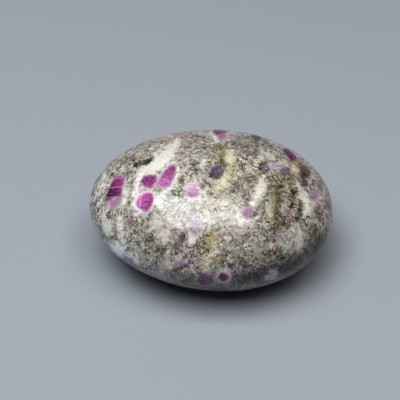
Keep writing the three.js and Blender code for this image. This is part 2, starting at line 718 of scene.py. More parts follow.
SEEN_STREAKS: tuple[Streak, ...] = (
    # The big white band, which runs down from the top edge and round the cluster of crystals
    Streak(((Seen(178, 139), 1.2), (Seen(173.5, 146), 2.3), (Seen(169, 154), 3.4), (Seen(161, 162.5), 3.7),
            (Seen(151, 168), 4.0), (Seen(143, 172), 2.8)), Cast.CREAM, blur=1.4),
    Streak(((Seen(160, 150.5), 0.8), (Seen(157, 154.5), 2.0)), Cast.WHITE, 0.9, 1.5),
    Streak(((Seen(143, 172), 2.6), (Seen(137.5, 182), 1.7), (Seen(136, 194), 2.2), (Seen(134.5, 205), 1.2),
            (Seen(139, 213), 1.8)), Cast.WHITE, blur=1.3),
    Streak(((Seen(178.5, 170), 1.3), (Seen(175, 178.5), 0.7), (Seen(169, 188), 0.7),
            (Seen(165.5, 191.5), 0.8)), Cast.WHITE, blur=1.3),
    Streak(((Seen(162, 194), 2.4), (Seen(160, 203), 1.5)), Cast.WHITE, blur=1.4),
    Streak(((Seen(141, 189), 1.3), (Seen(150, 190.5), 0.9), (Seen(156.5, 193), 0.8)), Cast.OYSTER, blur=1.4),
    Streak(((Seen(160, 187), 0.9), (Seen(164, 189), 0.5)), Cast.OYSTER, 0.55, 1.5),
    # Thin stripes near the left end
    Streak(((Seen(129, 179), 0.5), (Seen(126, 188), 1.3), (Seen(124, 198), 1.4), (Seen(121.5, 208), 0.4)),
           Cast.WHITE, 0.9, 1.4),
    Streak(((Seen(120, 220.5), 1.1), (Seen(120, 227), 1.4), (Seen(121.5, 236), 0.9)), Cast.WHITE, 1.0, 1.4),
    Streak(((Seen(105, 179), 1.2), (Seen(101, 187), 0.9), (Seen(100, 194), 0.6)), Cast.WHITE, 0.95, 1.4),
    Streak(((Seen(106, 224), 2.6), (Seen(107, 231), 2.7)), Cast.GREENISH, 1.0, 1.3),
    Streak(((Seen(112, 246), 2.0), (Seen(117, 251.5), 3.0), (Seen(121, 254.5), 1.8)), Cast.ICE, 1.0, 1.4),
    Streak(((Seen(128, 256.5), 1.2), (Seen(134.5, 261), 2.0)), Cast.ICE, 0.9, 1.4),
    # Patches and veins in the middle
    Streak(((Seen(164.5, 233), 2.8), (Seen(164, 240), 2.4)), Cast.OYSTER, 0.95, 1.5),
    Streak(((Seen(263, 178), 0.8), (Seen(259.5, 190), 2.8), (Seen(254.5, 201), 1.8)), Cast.CREAM, blur=1.4),
    Streak(((Seen(229, 152), 0.9), (Seen(231, 159), 2.7), (Seen(230.5, 166), 1.5), (Seen(228, 174), 1.0),
            (Seen(223.5, 182), 2.5), (Seen(216.5, 189.5), 1.9)), Cast.STRAW, 0.95, 1.7),
    Streak(((Seen(204, 160), 1.3), (Seen(203, 167), 1.2)), Cast.WHITE, 0.65, 1.6),
    Streak(((Seen(202, 190), 1.7), (Seen(205, 196), 1.0)), Cast.WHITE, 0.7, 1.5),
    Streak(((Seen(187, 185), 0.9), (Seen(187.5, 189), 0.4)), Cast.WHITE, 0.6, 1.5),
    Streak(((Seen(235, 217), 1.6), (Seen(241, 219), 1.9), (Seen(249, 221), 1.0)), Cast.WHITE, 0.55, 2.0),
    Streak(((Seen(193, 234.5), 2.4), (Seen(191.5, 241), 1.1)), Cast.WHITE, 0.95, 1.5),
    Streak(((Seen(211.5, 134), 1.7), (Seen(216, 138), 1.2)), Cast.WHITE, 0.95, 1.4),
    Streak(((Seen(228, 134), 1.4), (Seen(233, 135), 0.8)), Cast.PINKISH, 0.9, 1.5),
    Streak(((Seen(208, 217), 2.4), (Seen(211, 219), 1.0)), Cast.CREAM, 0.6, 2.2),
    Streak(((Seen(160, 223.5), 2.6), (Seen(159, 216), 2.2)), Cast.OYSTER, 0.95, 1.7),
    Streak(((Seen(239, 235), 2.4), (Seen(243, 230), 1.4)), Cast.OYSTER, 0.4, 2.4),
    # The right shoulder
    Streak(((Seen(297.5, 182), 0.4), (Seen(302, 191), 0.8), (Seen(305.5, 201), 2.6), (Seen(306.5, 210), 2.4)),
           Cast.CREAM, 0.95, 1.5),
    Streak(((Seen(301, 230.5), 2.1), (Seen(299, 240), 2.0), (Seen(298, 247), 1.3)), Cast.OYSTER, 0.85, 1.6),
    Streak(((Seen(280, 163), 1.8), (Seen(287, 165), 1.2)), Cast.OYSTER, 0.8, 1.8),
    Streak(((Seen(294, 168), 1.4), (Seen(297, 171), 1.7)), Cast.STRAW, 0.95, 1.5),
    Streak(((Seen(264, 154), 2.8), (Seen(271, 157), 1.8)), Cast.OYSTER, 0.9, 2.0),
    Streak(((Seen(312.5, 203.5), 1.5), (Seen(313, 207), 0.8)), Cast.OYSTER, 0.95, 1.5),
    Streak(((Seen(270, 208), 1.0), (Seen(270.5, 213.5), 0.9)), Cast.STRAW, 0.7, 1.8),
    # The lower front
    Streak(((Seen(257, 250), 2.4), (Seen(259, 255), 1.4)), Cast.MURKY, 0.7, 2.0),
    Streak(((Seen(168, 262.5), 2.2), (Seen(168.5, 266.5), 2.5)), Cast.OYSTER, 1.0, 1.4),
    Streak(((Seen(266, 278.5), 1.3), (Seen(273, 275.5), 2.6)), Cast.SLATE_PALE, 0.95, 1.1),
    Streak(((Seen(143.5, 261), 2.0),), Cast.SLATE_PALE, 0.3, 2.0),
    Streak(((Seen(160, 272), 2.4), (Seen(164, 277), 2.4)), Cast.SLATE_PALE, 0.5, 2.0),
    Streak(((Seen(292, 236), 2.8), (Seen(287, 246), 2.0)), Cast.MURKY, 0.4, 2.0),
    Streak(((Seen(227.5, 270.5), 1.4),), Cast.PALE_GREY, 1.0, 1.3),
)

SEEN_DARKS: tuple[Streak, ...] = (
    # The broken black crack in the upper left
    Streak(((Seen(133.5, 163), 0.4), (Seen(136.5, 165), 1.3)), cover=0.95, blur=1.3),
    Streak(((Seen(139.5, 164.5), 0.9), (Seen(142, 163.5), 0.8)), cover=0.75, blur=1.3),
    Streak(((Seen(144.5, 163.5), 1.1), (Seen(147.5, 161.5), 1.4), (Seen(151, 158.5), 1.1)), blur=1.2),
    # Black specks and dark clusters elsewhere
    Streak(((Seen(131, 156.5), 1.0), (Seen(134, 158.5), 1.0)), cover=0.5, blur=1.5),
    Streak(((Seen(159.5, 191), 0.8),), cover=0.5, blur=1.5),
    Streak(((Seen(254, 136), 1.0), (Seen(257, 136.8), 1.4), (Seen(259.8, 138.2), 0.8))),
    Streak(((Seen(109.5, 212), 0.8), (Seen(109, 217), 0.9)), cover=0.8, blur=1.3),
    Streak(((Seen(210.5, 175.8), 0.9),), cover=0.95, blur=1.2),
    Streak(((Seen(281, 186), 1.1),), cover=0.8, blur=1.3),
    Streak(((Seen(293, 190), 0.8), (Seen(294.5, 194), 1.5), (Seen(292.5, 199), 0.8)), cover=0.8, blur=1.5),
    Streak(((Seen(292.5, 206.5), 1.7),), blur=1.3),
    Streak(((Seen(294.5, 204.5), 1.1),), cover=0.65, blur=1.7),
    Streak(((Seen(300.5, 205), 1.6), (Seen(299.5, 218), 1.1)), cover=0.8, blur=1.5),
    Streak(((Seen(284.5, 224), 0.7), (Seen(287.5, 226), 0.9)), cover=0.6, blur=1.5),
    Streak(((Seen(281.5, 258.5), 1.5),), cover=0.85, blur=1.4),
    Streak(((Seen(270, 254), 1.1),), cover=0.6, blur=1.6),
    Streak(((Seen(182.5, 237.5), 1.2), (Seen(186, 236.5), 1.2)), cover=0.7, blur=1.5),
    Streak(((Seen(242, 263), 1.3), (Seen(246, 261), 0.8)), cover=0.7, blur=1.5),
    Streak(((Seen(171.5, 270.5), 0.3), (Seen(179, 269.5), 1.0), (Seen(190, 263), 0.5)), cover=0.8, blur=1.1),
    Streak(((Seen(259.3, 169.5), 0.7), (Seen(260, 165), 0.8), (Seen(267, 163), 1.0)), cover=0.65, blur=1.5),
    Streak(((Seen(316.5, 210), 0.8), (Seen(317.5, 216), 0.8)), cover=0.5, blur=1.5),
    Streak(((Seen(290, 251.5), 0.8),), cover=0.4, blur=1.6),
    Streak(((Seen(128, 172), 1.0),), cover=0.6, blur=1.5),
    Streak(((Seen(222, 160), 0.7), (Seen(224, 164.5), 1.0)), cover=0.6, blur=1.6),
    Streak(((Seen(222, 259), 1.0),), cover=0.6, blur=1.6),
    Streak(((Seen(236, 258.5), 0.7),), cover=0.4, blur=1.6),
)

SEEN_STAINS_AND_SHADE: tuple[StainAndShade, ...] = (
    StainAndShade(Seen(218, 150), 6.0, 3.0, 80, Cast.OLIVE, 1.0),
    StainAndShade(Seen(221.5, 160.5), 3.2, 2.0, 70, Cast.DARK_OLIVE, 1.0),
    StainAndShade(Seen(224, 164), 2.8, 1.6, 70, Cast.OLIVE, 0.9),
    StainAndShade(Seen(223, 146), 2.6, 1.6, 70, Cast.OLIVE, 0.9),
    StainAndShade(Seen(232, 168), 5.0, 1.6, 85, Cast.OLIVE, 0.9),
    StainAndShade(Seen(276.5, 202), 7.0, 2.6, 85, Cast.OLIVE, 1.0),
    StainAndShade(Seen(270.5, 209), 3.0, 1.4, 85, Cast.YELLOW, 0.3),
    StainAndShade(Seen(277.5, 207), 5.0, 1.7, 85, Cast.DARK_OLIVE, 0.8),
    StainAndShade(Seen(211, 241), 5.4, 3.0, 80, Cast.YELLOW, 1.0),
    StainAndShade(Seen(205, 244), 2.6, 2.0, 80, Cast.OLIVE, 0.8),
    StainAndShade(Seen(314, 231), 4.0, 1.8, 80, Cast.MOSS, 1.0),
    StainAndShade(Seen(256, 178), 2.8, 1.8, 60, Cast.OLIVE, 0.5),
    StainAndShade(Seen(300, 164), 3.4, 1.8, -40, Cast.BROWN, 0.7),
    StainAndShade(Seen(293, 177), 4.4, 2.4, 40, Cast.OLIVE, 0.8),
    StainAndShade(Seen(303, 172), 4.4, 3.6, 40, Cast.BROWN, 0.5),
    StainAndShade(Seen(281, 188), 3.0, 2.6, 40, Cast.OLIVE, 0.4),
    StainAndShade(Seen(280, 229), 3.6, 3.0, 0, Cast.BROWN, 0.8),
    StainAndShade(Seen(251, 206), 3.8, 2.2, 0, Cast.BROWN, 0.9),
    StainAndShade(Seen(211, 263), 7.0, 5.0, 0, Cast.YELLOW, 0.25),
    StainAndShade(Seen(280, 254), 7.0, 2.6, 0, Cast.OLIVE, 0.4),
    StainAndShade(Seen(176, 137.5), 4.4, 2.0, 12, Cast.PINKISH, 1.0),
    StainAndShade(Seen(150, 142), 5.0, 1.8, 25, Cast.PINKISH, 0.3),
    StainAndShade(Seen(182, 229), 6.0, 2.4, -5, Cast.PINKISH, 0.6),
    StainAndShade(Seen(183, 240), 4.6, 3.0, 0, Cast.PINKISH, 0.5),
    StainAndShade(Seen(214, 185), 4.0, 3.0, 0, Cast.BROWN, 0.15),
    StainAndShade(Seen(102, 205), 12.0, 3.0, 90, Cast.GREENISH, 0.2),
    StainAndShade(Seen(240, 232), 6.0, 3.0, 0, Cast.PINKISH, 0.3),
    StainAndShade(Seen(147, 255), 6.0, 3.0, 0, Cast.GREENISH, 0.2),
    # Painted shade: the dark, cool foot of the front underside
    StainAndShade(Seen(185, 286), 12.0, 2.2, -8, Cast.PAINTED_SHADE, 0.5),
    StainAndShade(Seen(218, 290), 12.0, 2.6, 0, Cast.PAINTED_SHADE, 0.9),
    StainAndShade(Seen(242, 283), 9.0, 3.6, 4, Cast.PAINTED_SHADE, 0.2),
    StainAndShade(Seen(265, 278), 11.0, 4.6, 14, Cast.PAINTED_SHADE, 1.0),
    StainAndShade(Seen(292, 268), 11.0, 3.8, 30, Cast.PAINTED_SHADE, 1.0),
    StainAndShade(Seen(319, 251.5), 10.0, 4.6, 46, Cast.PAINTED_SHADE, 0.9),
)

SEEN_MOODS: tuple[Mood, ...] = (
    # The upper half, from the left end
    # Painted bluish reflection: this oval makes the left end cooler and a little lighter
    Mood(Seen(98, 205), 9.0, 16.0, flecks=0.2, warmth=-0.3, light=0.07),
    Mood(Seen(124, 168), 6.0, 4.0, 40, flecks=0.2, warmth=0.05, light=0.1),
    Mood(Seen(128, 186), 2.2, 5.0, -10, flecks=0.3, warmth=0.1, light=-0.15),
    Mood(Seen(120, 152), 12.0, 3.0, 30, flecks=0.1, warmth=0.2, light=-0.03),
    Mood(Seen(155, 145), 8.0, 3.0, 25, flecks=-0.2, warmth=0.1, light=0.06),
    Mood(Seen(195, 152), 9.0, 9.0, flecks=0.2, warmth=-0.1, light=-0.02),
    Mood(Seen(194, 163), 2.6, 2.6, flecks=0.5, warmth=-0.2, light=-0.24),
    Mood(Seen(176, 193), 6.0, 4.0, 40, flecks=0.5, warmth=-0.8, light=0.12),
    Mood(Seen(187, 172), 5.0, 6.0, flecks=0.1, light=0.13),
    Mood(Seen(244, 155), 7.0, 8.0, flecks=0.4, warmth=0.1, light=0.02),
    Mood(Seen(242, 180), 6.0, 7.0, flecks=0.1, light=-0.04),
    Mood(Seen(262, 150), 9.0, 5.0, -20, flecks=0.2, light=-0.21),
    Mood(Seen(262, 167), 4.5, 3.4, flecks=0.2, warmth=0.2, light=0.42),
    Mood(Seen(280, 180), 8.0, 8.0, flecks=0.9, warmth=0.7, light=-0.18),
    Mood(Seen(293, 194), 3.4, 7.0, flecks=0.9, warmth=0.7, light=0.09),
    Mood(Seen(282, 160), 5.0, 3.0, flecks=0.3, warmth=0.3, light=-0.05),
    Mood(Seen(316, 183), 5.0, 7.0, -20, flecks=0.1, warmth=-0.2, light=-0.06),
    Mood(Seen(322, 200), 4.0, 9.0, flecks=0.2, warmth=-0.3, light=0.11),
    # Around the highlight: partly the rock's own tone, partly painted highlight haze, with fewer flecks and
    # the rock lightened or darkened to even out the reflection
    Mood(Seen(175, 207), 7.0, 6.0, flecks=-0.6, warmth=-0.3, light=-0.04),
    Mood(Seen(222, 213), 9.0, 7.0, flecks=-0.8, warmth=-0.1, light=0.12),
    Mood(Seen(195, 212), 6.0, 7.0, flecks=-0.3, warmth=-0.2, light=-0.1),
    Mood(Seen(233, 217), 4.0, 4.0, flecks=-0.8, warmth=-0.1, light=0.1),
    Mood(Seen(262, 208), 6.0, 7.0, flecks=0.6, warmth=-0.2, light=-0.06),
    # The lower half, from the left end
    Mood(Seen(137, 222), 7.0, 9.0, flecks=0.6, warmth=-0.1, light=-0.03),
    Mood(Seen(118, 232), 4.0, 8.0, flecks=0.5, light=0.02),
    Mood(Seen(156, 250), 8.0, 6.0, -20, flecks=0.9, light=-0.13),
    Mood(Seen(158, 226), 5.0, 5.0, flecks=0.1, warmth=0.1),
    Mood(Seen(183, 237), 5.0, 3.6, flecks=1.1, warmth=-0.7, light=0.04),
    Mood(Seen(198, 247), 5.0, 5.0, flecks=1.0, warmth=0.3, light=-0.02),
    Mood(Seen(213, 262), 8.0, 5.0, flecks=0.6, warmth=0.25, light=0.15),
    Mood(Seen(228, 234), 7.0, 6.0, flecks=0.5, warmth=-0.05, light=-0.01),
    Mood(Seen(225, 246), 6.0, 5.0, flecks=0.1, warmth=0.1, light=0.03),
    Mood(Seen(253, 233), 6.0, 5.0, flecks=0.3, warmth=-0.6, light=0.06),
    Mood(Seen(245, 260), 9.0, 4.0, 5, flecks=1.3, warmth=0.4, light=-0.02),
    Mood(Seen(272, 232), 5.0, 7.0, flecks=0.7, warmth=0.5, light=-0.06),
    Mood(Seen(279, 257), 9.0, 4.0, 10, flecks=1.3, warmth=0.7, light=0.02),
    Mood(Seen(288, 218), 7.0, 5.0, flecks=1.2, warmth=0.6, light=-0.12),
    Mood(Seen(290, 240), 6.0, 7.0, flecks=0.2, warmth=-0.4, light=0.14),
    Mood(Seen(311, 224), 6.0, 9.0, flecks=0.8, warmth=0.2, light=0.09),
    Mood(Seen(305, 250), 7.0, 6.0, 30, flecks=0.6, warmth=-0.4, light=0.2),
    # Painted shade on the front foot: the underside made cooler and mostly darker
    Mood(Seen(236, 279), 16.0, 3.4, 2, flecks=0.3, warmth=-0.5, light=-0.16),
    Mood(Seen(264, 273), 12.0, 4.0, 14, flecks=0.3, warmth=-0.5, light=-0.34),
    Mood(Seen(294, 262), 12.0, 4.0, 30, flecks=0.3, warmth=-0.4, light=-0.3),
    Mood(Seen(318, 246), 8.0, 4.4, 45, flecks=0.3, warmth=-0.3, light=-0.44),
    Mood(Seen(180, 279), 12.0, 3.4, -10, flecks=0.2, warmth=-0.5, light=-0.18),
    Mood(Seen(145, 269), 10.0, 2.8, -25, flecks=0.2, warmth=-0.5, light=0.06),
)


@dataclass(frozen=True)
class HiddenSide:
    """The markings where the stone isn't seen: of the same kinds and sizes, laid out from a fixed seed.

    The gaps are the least distances, in millimetres, between two marks of a kind. Marks keep off the very
    ends, where the direction's X is beyond end_share. Crystals longer than solid_from cover the rock
    wholly, and those longer than parted_from have partings. The streak step is the turn, in degrees,
    between two places of a band. Most_facing is the largest cosine between a hidden place's normal and the
    line to the viewer.
    """

    seed: int = 11
    tries: int = 900
    crystal_count: int = 44
    streak_count: int = 16
    dark_count: int = 24
    stain_count: int = 12
    mood_count: int = 26
    crystal_gap: float = 3.0
    streak_gap: float = 8.0
    dark_gap: float = 5.0
    stain_gap: float = 9.0
    mood_gap: float = 7.0
    end_share: float = 0.97
    solid_from: float = 3.0
    parted_from: float = 4.0
    parting_step: float = 2.2
    streak_step: float = 11.0
    most_facing: float = -0.02

    def places(self, skin: Skin, random: np.random.Generator, count: int, gap: float) -> list[Round]:
        """Scatters places over the hidden surface, each at least a gap away from those before it.

        Args:
            skin: the stone's surface.
            random: the source of chance.
            count: how many places there are at most.
            gap: the least distance between two places.

        Returns:
            list: the places.
        """
        kept: list[Round] = []
        origins: list[Array] = []
        for _ in range(self.tries):
            along = float(np.degrees(np.arccos(random.uniform(-self.end_share, self.end_share))))
            around = float(random.uniform(0.0, 360.0))
            spot = skin.spot(Round(along, around))
            if unit(skin.eye - spot.origin) @ spot.normal > self.most_facing:
                continue
            if all(np.linalg.norm(spot.origin - other) > gap for other in origins):
                kept.append(Round(along, around))
                origins.append(spot.origin)
            if len(kept) == count:
                break
        return kept

    def crystals(self, skin: Skin) -> list[Crystal]:
        """Makes hidden crystals: a few large ones and many small ones, through which the rock may show.

        Their length is 1.2 mm plus 5.2 mm times a power of chance, so that large ones are rare.

        Args:
            skin: the stone's surface.

        Returns:
            list: the crystals.
        """
        random = np.random.default_rng(self.seed)
        faint = np.random.default_rng(self.seed + 5)
        hues = [Hue.DEEP_MAGENTA, Hue.MAGENTA, Hue.PURPLE, Hue.PLUM, Hue.PINK, Hue.VIOLET, Hue.MAUVE,
                Hue.DULL_MAUVE, Hue.GREY_LILAC]
        made = []
        for place in self.places(skin, random, self.crystal_count, self.crystal_gap):
            long = 1.2 + 5.2 * random.uniform() ** 2.6
            made.append(Crystal(
                place, long, long * random.uniform(0.5, 0.9), random.uniform(-40.0, 40.0) + 90.0,
                hues[int(random.integers(len(hues)))], hues[int(random.integers(len(hues)))],
                random.uniform(0.0, 360.0), int(random.integers(5, 8)),
                parting_step=self.parting_step if long > self.parted_from else 0.0, parting_lean=90.0,
                halo=faint.uniform(0.0, 0.5),
                cover=1.0 if long > self.solid_from else faint.uniform(0.45, 1.0),
            ))
        return made

    def streaks(self, skin: Skin) -> list[Streak]:
        """Makes hidden bands, each wandering around the stone along its layering.

        Args:
            skin: the stone's surface.

        Returns:
            list: the bands.
        """
        random = np.random.default_rng(self.seed + 1)
        faint = np.random.default_rng(self.seed + 6)
        casts = [Cast.CREAM, Cast.WHITE, Cast.OYSTER, Cast.GREENISH, Cast.PALE_GREY, Cast.STRAW]
        made = []
        for place in self.places(skin, random, self.streak_count, self.streak_gap):
            length = int(random.integers(1, 6))
            slope = random.uniform(-6.0, 6.0)
            width = random.uniform(1.0, 3.6)
            turns = np.arange(length) - 0.5 * (length - 1)
            through = tuple(
                (Round(place.along + slope * turn, place.around + self.streak_step * turn),
                 width * random.uniform(0.6, 1.2))
                for turn in turns
            )
            made.append(Streak(through, casts[int(random.integers(len(casts)))], faint.uniform(0.5, 1.0),
                               faint.uniform(1.3, 2.0)))
        return made

    def darks(self, skin: Skin) -> list[Streak]:
        """Makes hidden dark specks and short cracks.

        Args:
            skin: the stone's surface.

        Returns:
            list: the specks and cracks.
        """
        random = np.random.default_rng(self.seed + 2)
        made = []
        for place in self.places(skin, random, self.dark_count, self.dark_gap):
            width = random.uniform(0.7, 1.4)
            further = Round(place.along + random.uniform(-2.0, 2.0), place.around + random.uniform(-5.0, 5.0))
            through = ((place, width), (further, 0.6 * width))
            made.append(Streak(through, cover=random.uniform(0.4, 0.9), blur=1.5))
        return made

    def stains(self, skin: Skin) -> list[StainAndShade]:
        """Makes hidden stains.

        Args:
            skin: the stone's surface.

        Returns:
            list: the stains.
        """
        random = np.random.default_rng(self.seed + 3)
        casts = [Cast.OLIVE, Cast.BROWN, Cast.BEIGE, Cast.MOSS, Cast.RUST, Cast.PINKISH, Cast.OCHRE]
        return [
            StainAndShade(place, random.uniform(3.0, 7.0), random.uniform(2.0, 4.0), random.uniform(50.0, 130.0),
                  casts[int(random.integers(len(casts)))], random.uniform(0.4, 0.8))
            for place in self.places(skin, random, self.stain_count, self.stain_gap)
        ]

    def moods(self, skin: Skin) -> list[Mood]:
        """Makes hidden patches with more or fewer flecks, warmer or greyer, lighter or darker.

        Args:
            skin: the stone's surface.

        Returns:
            list: the patches.
        """
        random = np.random.default_rng(self.seed + 4)
        return [
            Mood(place, random.uniform(5.0, 11.0), random.uniform(4.0, 8.0), random.uniform(50.0, 130.0),
                 flecks=random.uniform(-0.3, 1.1), warmth=random.uniform(-0.5, 0.6),
                 light=random.uniform(-0.16, 0.08))
            for place in self.places(skin, random, self.mood_count, self.mood_gap)
        ]


@dataclass
class Markings:
    """Everything that grew in the rock, with the shade and highlight haze painted on it, and the fields that
    carry it on the mesh.

    The rock's layering starts where X falls to layered_from and is full from layered_by on, in millimetres.
    """

    crystals: tuple[Crystal, ...] = SEEN_CRYSTALS
    streaks: tuple[Streak, ...] = SEEN_STREAKS
    darks: tuple[Streak, ...] = SEEN_DARKS
    # The seen stains include the painted shade of the front foot
    stains: tuple[StainAndShade, ...] = SEEN_STAINS_AND_SHADE
    # The seen moods include painted shade, highlight haze and a bluish reflection
    moods: tuple[Mood, ...] = SEEN_MOODS
    hidden: HiddenSide = field(default_factory=HiddenSide)
    layered_from: float = -18.0
    layered_by: float = -29.0

    def crystal_fields(self, skin: Skin) -> dict[str, Array]:
        """Gives each point's depth in its nearest crystal, with that crystal's colour and partings.

        Args:
            skin: the stone's surface.

        Returns:
            dict: fields by name.
        """
        count = len(skin.points)
        depth = np.full(count, -FAR)
        colour = np.zeros((count, 3))
        partings = np.zeros(count)
        place = np.zeros((count, 3))
        halo = np.zeros(count)
        cover = np.zeros(count)
        for number, crystal in enumerate([*self.crystals, *self.hidden.crystals(skin)]):
            across, upward, distance = skin.spot(crystal.at).flat(skin.points)
            near = np.flatnonzero(distance < crystal.reach())
            inside = crystal.depth(across[near], upward[near])
            nearer = inside > depth[near]
            taken = near[nearer]
            depth[taken] = inside[nearer]
            colour[taken] = crystal.colour(across[taken], upward[taken])
            partings[taken] = crystal.partings(across[taken], upward[taken])
            place[taken] = crystal.place(across[taken], upward[taken], number)
            halo[taken] = crystal.halo
            cover[taken] = crystal.cover
        return {
            "crystal_depth": depth,
            "crystal_colour": colour,
            "crystal_partings": partings,
            "crystal_place": place,
            "crystal_halo": halo,
            "crystal_cover": cover,
        }

    @staticmethod
    def deepest(streaks: list[Streak], skin: Skin) -> tuple[Array, Array, Array]:
        """Finds the streak that each point lies deepest in.

        Args:
            streaks: pale bands or darks.
            skin: the stone's surface.

        Returns:
            tuple: each point's depth in that streak, and the streak's colour and cover.
        """
        count = len(skin.points)
        depth = np.full(count, -FAR)
        colour = np.zeros((count, 3))
        cover = np.zeros(count)
        for streak in streaks:
            inside = streak.depth(skin)
            nearer = inside > depth
            depth[nearer] = inside[nearer]
            colour[nearer] = streak.cast.value
            cover[nearer] = streak.cover
        return depth, colour, cover

    def streak_fields(self, skin: Skin) -> dict[str, Array]:
        """Gives each point's depth in the pale bands, with the band's colour, and its depth in the darks.

        Args:
            skin: the stone's surface.

        Returns:
            dict: fields by name.
        """
        depth, colour, cover = self.deepest([*self.streaks, *self.hidden.streaks(skin)], skin)
        dark, _, dark_cover = self.deepest([*self.darks, *self.hidden.darks(skin)], skin)
        return {
            "pale_depth": depth,
            "pale_colour": colour,
            "pale_cover": cover,
            "dark_depth": dark,
            "dark_cover": dark_cover,
        }

    def stain_and_shade_fields(self, skin: Skin) -> dict[str, Array]:
        """Gives each point's stain and painted shade: the mean colour of all that reach it, and how strong
        they are together.

        Args:
            skin: the stone's surface.

        Returns:
            dict: fields by name.
        """
        count = len(skin.points)
        least_total = 1e-6
        total = np.full(count, least_total)
        colour = np.zeros((count, 3))
        left = np.ones(count)
        for stain_and_shade in [*self.stains, *self.hidden.stains(skin)]:
            share = stain_and_shade.strength * stain_and_shade.share(skin)
            total += share
            colour += share[:, None] * np.array(stain_and_shade.cast.value)
            left *= 1.0 - share
        return {"stain_and_shade_colour": colour / total[:, None], "stain_and_shade_strength": 1.0 - left}

    def mood_fields(self, skin: Skin) -> dict[str, Array]:
        """Gives each point's mood, the sum of all ovals: flecks, warmth and light, with painted shade and
        highlight haze among them. Adds the layering.

        Args:
            skin: the stone's surface.

        Returns:
            dict: fields by name.
        """
        mood = np.zeros((len(skin.points), 3))
        for oval in [*self.moods, *self.hidden.moods(skin)]:
            mood += oval.share(skin)[:, None] * np.array([oval.flecks, oval.warmth, oval.light])
        layering = smooth_step(self.layered_from, self.layered_by, skin.points[:, 0])
        return {"mood": mood, "layering": layering}

    def fields(self, skin: Skin) -> dict[str, Array]:
        """Works out every field.

        Args:
            skin: the stone's surface.

        Returns:
            dict: fields by name.
        """
        return {
            **self.crystal_fields(skin),
            **self.streak_fields(skin),
            **self.stain_and_shade_fields(skin),
            **self.mood_fields(skin),
        }


